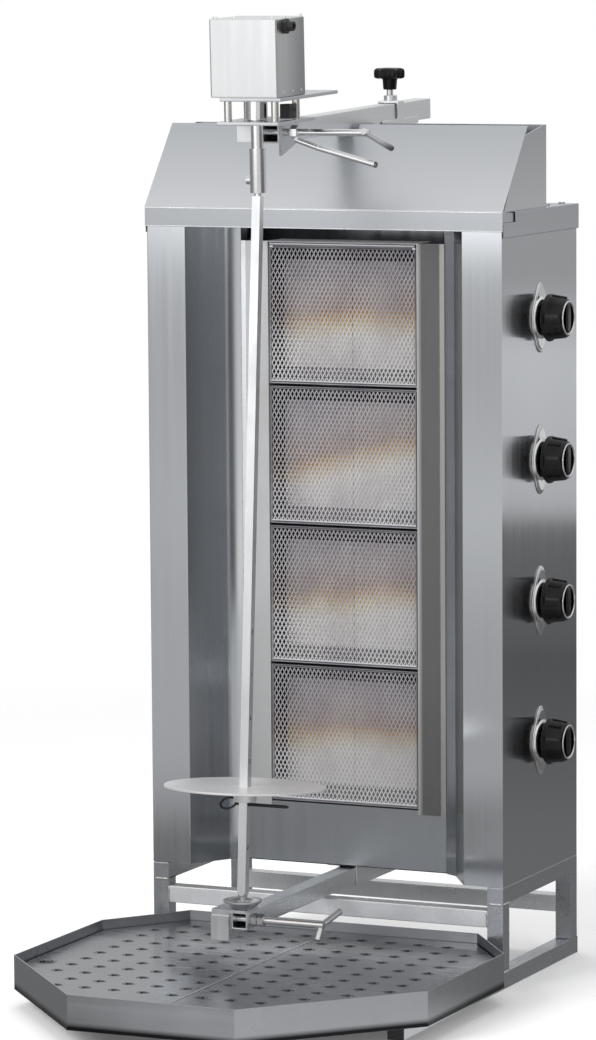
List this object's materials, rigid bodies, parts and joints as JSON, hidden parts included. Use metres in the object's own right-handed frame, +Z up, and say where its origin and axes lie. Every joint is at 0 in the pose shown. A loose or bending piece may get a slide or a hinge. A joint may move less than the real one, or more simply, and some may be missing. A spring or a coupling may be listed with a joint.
{
  "type": "vertical rotisserie broiler",
  "caption": "Upright stainless gas broiler with stacked burners in a recess, a motor-driven leaning spit with a meat disc, and a sliding drip tray with perforated inserts.",
  "frame": {"origin": "centre of the footprint on the floor", "axes": "+Z up, +Y from the spit towards the cabinet's back, +X to the knob side"},
  "size_m": [0.519, 0.769, 1.1284],
  "materials": {
    "sheet_steel": "vertical brushed stainless sheet",
    "tube_steel": "brushed stainless tube",
    "tray_steel": "bright stainless, lightly brushed",
    "cover_steel": "satin stainless cover",
    "chrome": "polished",
    "dark_steel": "heat-darkened steel",
    "gas_steel": "mill-finish steel tube",
    "brass": "dull brass",
    "ceramic": "porous ceramic, fired and heat-stained",
    "black_plastic": "moulded black plastic"
  },
  "bodies": {
    "cabinet": {"side_frame_left": "tube_steel", "side_frame_right": "tube_steel", "cross_rails": "tube_steel", "rail_end_plugs": "black_plastic", "bottom_panel": "sheet_steel", "back_panel": "sheet_steel", "left_side_panel": "sheet_steel", "right_side_panel": "sheet_steel", "burner_surround": "sheet_steel", "lower_recess_panel": "sheet_steel", "lid": "sheet_steel", "hood_front": "sheet_steel", "hood_shell": "sheet_steel", "panel_screws": "chrome", "burner_boxes": "dark_steel", "ceramic_tiles": "ceramic", "mesh_guard_1": "dark_steel", "mesh_guard_2": "dark_steel", "mesh_guard_3": "dark_steel", "mesh_guard_4": "dark_steel", "mixing_tubes": "gas_steel", "gas_manifold": "gas_steel", "gas_inlet": "brass", "gas_valves": "brass", "feed_pipes": "brass", "thermocouples": "brass", "knob_bezels": "chrome", "arm_bracket": "tube_steel", "lower_guide": "tube_steel"},
    "spindle_1": {"spindle_1": "chrome"},
    "knob_1": {"knob_1": "black_plastic"},
    "spindle_2": {"spindle_2": "chrome"},
    "knob_2": {"knob_2": "black_plastic"},
    "spindle_3": {"spindle_3": "chrome"},
    "knob_3": {"knob_3": "black_plastic"},
    "spindle_4": {"spindle_4": "chrome"},
    "knob_4": {"knob_4": "black_plastic"},
    "star_knob": {"star_knob": "black_plastic"},
    "upper_arm": {"upper_arm": "tube_steel", "motor_carrier": "tube_steel", "upper_clamp_jaw": "tube_steel", "standoffs": "chrome", "motor_plate": "dark_steel", "gearbox": "dark_steel", "motor": "dark_steel", "motor_cover": "cover_steel", "cable_gland": "black_plastic"},
    "upper_clamp_screw": {"upper_clamp_screw": "chrome"},
    "lock_lever": {"lock_lever": "chrome"},
    "drive_socket": {"drive_socket": "chrome"},
    "lower_arm": {"lower_arm": "tube_steel", "bearing_carrier": "tube_steel", "drip_cup": "dark_steel"},
    "lower_clamp_screw": {"lower_clamp_screw": "chrome"},
    "spit": {"spit": "chrome"},
    "meat_disc": {"meat_disc": "chrome"},
    "lock_pin": {"lock_pin": "dark_steel"},
    "tray": {"tray": "tray_steel"},
    "tray_insert_left": {"tray_insert_left": "tray_steel"},
    "tray_insert_right": {"tray_insert_right": "tray_steel"}
  },
  "joints": [
    {"name": "knob_1_turn", "type": "hinge", "parent": "cabinet", "child": "spindle_1", "pos_m": [0.2225, 0.20048, 0.27587], "axis": [1, 0, 0], "range_deg": [0, 180]},
    {"name": "knob_1_push", "type": "slide", "parent": "spindle_1", "child": "knob_1", "axis": [-1, 0, 0], "range_m": [0, 0.003], "stiffness_N_per_m": 600},
    {"name": "knob_2_turn", "type": "hinge", "parent": "cabinet", "child": "spindle_2", "pos_m": [0.2225, 0.20048, 0.44162], "axis": [1, 0, 0], "range_deg": [0, 180]},
    {"name": "knob_2_push", "type": "slide", "parent": "spindle_2", "child": "knob_2", "axis": [-1, 0, 0], "range_m": [0, 0.003], "stiffness_N_per_m": 600},
    {"name": "knob_3_turn", "type": "hinge", "parent": "cabinet", "child": "spindle_3", "pos_m": [0.2225, 0.20048, 0.60737], "axis": [1, 0, 0], "range_deg": [0, 180]},
    {"name": "knob_3_push", "type": "slide", "parent": "spindle_3", "child": "knob_3", "axis": [-1, 0, 0], "range_m": [0, 0.003], "stiffness_N_per_m": 600},
    {"name": "knob_4_turn", "type": "hinge", "parent": "cabinet", "child": "spindle_4", "pos_m": [0.2225, 0.20048, 0.77312], "axis": [1, 0, 0], "range_deg": [0, 180]},
    {"name": "knob_4_push", "type": "slide", "parent": "spindle_4", "child": "knob_4", "axis": [-1, 0, 0], "range_m": [0, 0.003], "stiffness_N_per_m": 600},
    {"name": "star_knob_turn", "type": "hinge", "parent": "cabinet", "child": "star_knob", "pos_m": [-0.0025, 0.28578, 1.04752], "axis": [0, -0.0332, 0.9995], "range_deg": [0, 360]},
    {"name": "upper_arm_slide", "type": "slide", "parent": "cabinet", "child": "upper_arm", "axis": [0, 0.9995, 0.0332], "range_m": [-0.04, 0.05]},
    {"name": "lower_arm_slide", "type": "slide", "parent": "cabinet", "child": "lower_arm", "axis": [0, 1, 0], "range_m": [-0.04, 0.05]},
    {"name": "upper_clamp_turn", "type": "hinge", "parent": "upper_arm", "child": "upper_clamp_screw", "pos_m": [-0.0025, -0.04564, 0.9945], "axis": [1, 0, 0], "range_deg": [0, 120]},
    {"name": "lock_lever_turn", "type": "hinge", "parent": "upper_arm", "child": "lock_lever", "pos_m": [-0.0025, -0.04564, 0.9945], "axis": [1, 0, 0], "range_deg": [-60, 0]},
    {"name": "drive_socket_spin", "type": "hinge", "parent": "upper_arm", "child": "drive_socket", "pos_m": [-0.0025, -0.09101, 1.005], "axis": [0, -0.0332, 0.9995], "continuous": true},
    {"name": "lower_clamp_turn", "type": "hinge", "parent": "lower_arm", "child": "lower_clamp_screw", "pos_m": [-0.0025, -0.14102, 0.108], "axis": [1, 0, 0], "range_deg": [-30, 90]},
    {"name": "spit_spin", "type": "hinge", "parent": "lower_arm", "child": "spit", "pos_m": [-0.0025, -0.14502, 0.1265], "axis": [0, 0.0691, 0.9976], "continuous": true},
    {"name": "meat_disc_slide", "type": "slide", "parent": "spit", "child": "meat_disc", "axis": [0, 0.0691, 0.9976], "range_m": [0, 0.6]},
    {"name": "lock_pin_pull", "type": "slide", "parent": "spit", "child": "lock_pin", "axis": [-1, 0, 0], "range_m": [0, 0.06]},
    {"name": "tray_slide", "type": "slide", "parent": "cabinet", "child": "tray", "axis": [0, -1, 0], "range_m": [0, 0.3]},
    {"name": "tray_insert_left_lift", "type": "slide", "parent": "tray", "child": "tray_insert_left", "axis": [0, 0, 1], "range_m": [0, 0.02]},
    {"name": "tray_insert_right_lift", "type": "slide", "parent": "tray", "child": "tray_insert_right", "axis": [0, 0, 1], "range_m": [0, 0.02]}
  ],
  "couplings": [
    {"joint": "lower_arm_slide", "follows": "upper_arm_slide", "ratio": 1},
    {"joint": "drive_socket_spin", "follows": "spit_spin", "ratio": 1}
  ]
}
